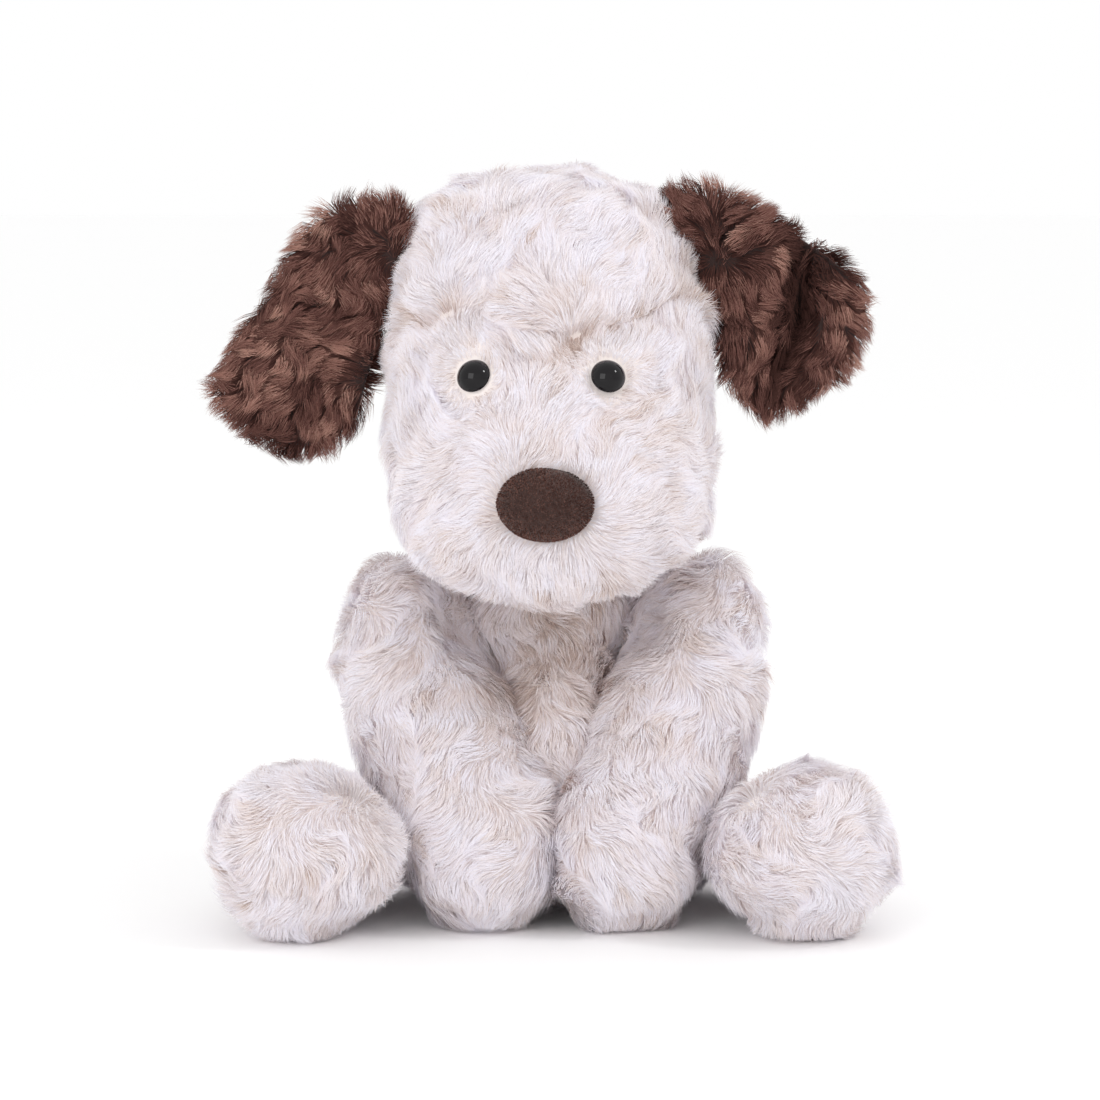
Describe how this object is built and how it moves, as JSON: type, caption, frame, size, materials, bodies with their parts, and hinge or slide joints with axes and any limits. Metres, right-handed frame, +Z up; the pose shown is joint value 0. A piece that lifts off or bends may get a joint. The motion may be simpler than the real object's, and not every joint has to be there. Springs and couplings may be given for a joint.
{
  "type": "plush dog",
  "caption": "Seated soft toy dog with a long-pile cream coat, brown floppy ears, round plastic eyes, a flat oval nose and limbs that swing at their seams.",
  "frame": {"origin": "middle of the object's box, on the surface that the dog sits on", "axes": "+Z up, -Y the way the dog faces, +X to the right of someone facing the dog"},
  "size_m": [0.2533, 0.1976, 0.267],
  "materials": {
    "cream_plush": "long soft pile, matte",
    "brown_plush": "long soft pile, matte with a slight sheen",
    "nose_velour": "short dense pile, matte",
    "eye_gloss": "polished",
    "washer_plastic": "moulded",
    "fibre_fill": "loose polyester fibre",
    "pellet_bag": "plain woven cloth",
    "thread": "polyester thread"
  },
  "bodies": {
    "torso": {"seat_panel": "cream_plush", "torso_front_panel": "cream_plush", "torso_left_panel": "cream_plush", "torso_right_panel": "cream_plush", "torso_stuffing": "fibre_fill", "seat_pellet_bag": "pellet_bag", "closing_stitches": "thread"},
    "neck": {"neck_stuffing": "fibre_fill"},
    "head": {"face_panel": "cream_plush", "head_left_panel": "cream_plush", "head_right_panel": "cream_plush", "head_back_panel": "cream_plush", "head_stuffing": "fibre_fill", "eye_left": "eye_gloss", "eye_right": "eye_gloss", "eye_washer_left": "washer_plastic", "eye_washer_right": "washer_plastic", "nose_patch": "nose_velour", "nose_padding": "fibre_fill"},
    "ear_left": {"ear_left_front_panel": "brown_plush", "ear_left_back_panel": "brown_plush"},
    "ear_right": {"ear_right_front_panel": "brown_plush", "ear_right_back_panel": "brown_plush"},
    "foreleg_left": {"foreleg_left_outer_panel": "cream_plush", "foreleg_left_inner_panel": "cream_plush", "foreleg_left_stuffing": "fibre_fill"},
    "foreleg_right": {"foreleg_right_outer_panel": "cream_plush", "foreleg_right_inner_panel": "cream_plush", "foreleg_right_stuffing": "fibre_fill"},
    "hindleg_left": {"hindleg_left_outer_panel": "cream_plush", "hindleg_left_inner_panel": "cream_plush", "hindleg_left_sole": "cream_plush", "hindleg_left_stuffing": "fibre_fill"},
    "hindleg_right": {"hindleg_right_outer_panel": "cream_plush", "hindleg_right_inner_panel": "cream_plush", "hindleg_right_sole": "cream_plush", "hindleg_right_stuffing": "fibre_fill"},
    "tail": {"tail_upper_panel": "cream_plush", "tail_lower_panel": "cream_plush", "tail_stuffing": "fibre_fill"}
  },
  "joints": [
    {"name": "neck_turn", "type": "hinge", "parent": "torso", "child": "neck", "pos_m": [0, 0.008, 0.1345], "axis": [0, 0, 1], "range_deg": [-20, 20], "stiffness_Nm_per_rad": 0.06},
    {"name": "head_nod", "type": "hinge", "parent": "neck", "child": "head", "pos_m": [0, 0.008, 0.1345], "axis": [1, 0, 0], "range_deg": [-12, 5], "stiffness_Nm_per_rad": 0.8, "springref_deg": -2.29},
    {"name": "ear_left_flap", "type": "hinge", "parent": "head", "child": "ear_left", "pos_m": [-0.0575, -0.017, 0.234], "axis": [0.2079, 0, 0.9781], "range_deg": [-25, 25], "stiffness_Nm_per_rad": 0.02},
    {"name": "ear_right_flap", "type": "hinge", "parent": "head", "child": "ear_right", "pos_m": [0.0575, -0.017, 0.234], "axis": [0.2079, 0, -0.9781], "range_deg": [-25, 25], "stiffness_Nm_per_rad": 0.02},
    {"name": "foreleg_left_swing", "type": "hinge", "parent": "torso", "child": "foreleg_left", "pos_m": [-0.056, -0.002, 0.103], "axis": [-1, 0, 0], "range_deg": [0, 25]},
    {"name": "foreleg_right_swing", "type": "hinge", "parent": "torso", "child": "foreleg_right", "pos_m": [0.056, -0.002, 0.103], "axis": [-1, 0, 0], "range_deg": [0, 25]},
    {"name": "hindleg_left_splay", "type": "hinge", "parent": "torso", "child": "hindleg_left", "pos_m": [-0.09, -0.008, 0.022], "axis": [0, 0, -1], "range_deg": [0, 20]},
    {"name": "hindleg_right_splay", "type": "hinge", "parent": "torso", "child": "hindleg_right", "pos_m": [0.09, -0.008, 0.022], "axis": [0, 0, 1], "range_deg": [0, 20]},
    {"name": "tail_wag", "type": "hinge", "parent": "torso", "child": "tail", "pos_m": [0, 0.0804, 0.038], "axis": [0, 0, 1], "range_deg": [-25, 25], "stiffness_Nm_per_rad": 0.02}
  ]
}
